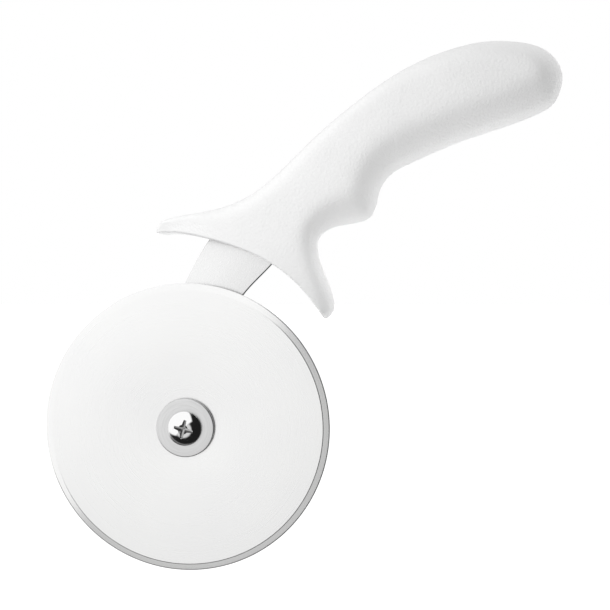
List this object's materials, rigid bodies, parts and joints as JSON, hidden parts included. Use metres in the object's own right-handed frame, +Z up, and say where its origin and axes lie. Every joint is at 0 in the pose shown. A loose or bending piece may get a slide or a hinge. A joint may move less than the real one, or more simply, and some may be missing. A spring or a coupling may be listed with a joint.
{
  "type": "pastry cutter wheel",
  "caption": "Hand-held pastry and pizza cutter: a round steel blade turning on a screwed hub, on a flat arm set in a curved white plastic handle with a finger guard.",
  "frame": {"origin": "middle of the blade, where the axle crosses its mid-plane", "axes": "+Y along the axle from the screw head to the cap nut, +Z up, +X from the blade towards the handle's butt"},
  "size_m": [0.1807, 0.023, 0.184],
  "materials": {
    "handle_plastic": "finely pebbled white polypropylene",
    "arm_steel": "satin stainless steel",
    "blade_steel": "ground and polished stainless steel",
    "washer_steel": "fine brushed stainless steel",
    "bush_brass": "turned",
    "spring_steel": "zinc plated spring steel",
    "screw_chrome": "bright plated"
  },
  "bodies": {
    "holder": {"handle": "handle_plastic", "arm": "arm_steel", "front_washer": "washer_steel", "hub_bush": "bush_brass", "rear_washer": "washer_steel", "spring_washer": "spring_steel", "axle_screw": "screw_chrome", "cap_nut": "screw_chrome"},
    "wheel": {"cutter_blade": "blade_steel"}
  },
  "joints": [
    {"name": "wheel_spin", "type": "hinge", "parent": "holder", "child": "wheel", "pos_m": [0, 0, 0], "axis": [0, 1, 0], "continuous": true}
  ]
}
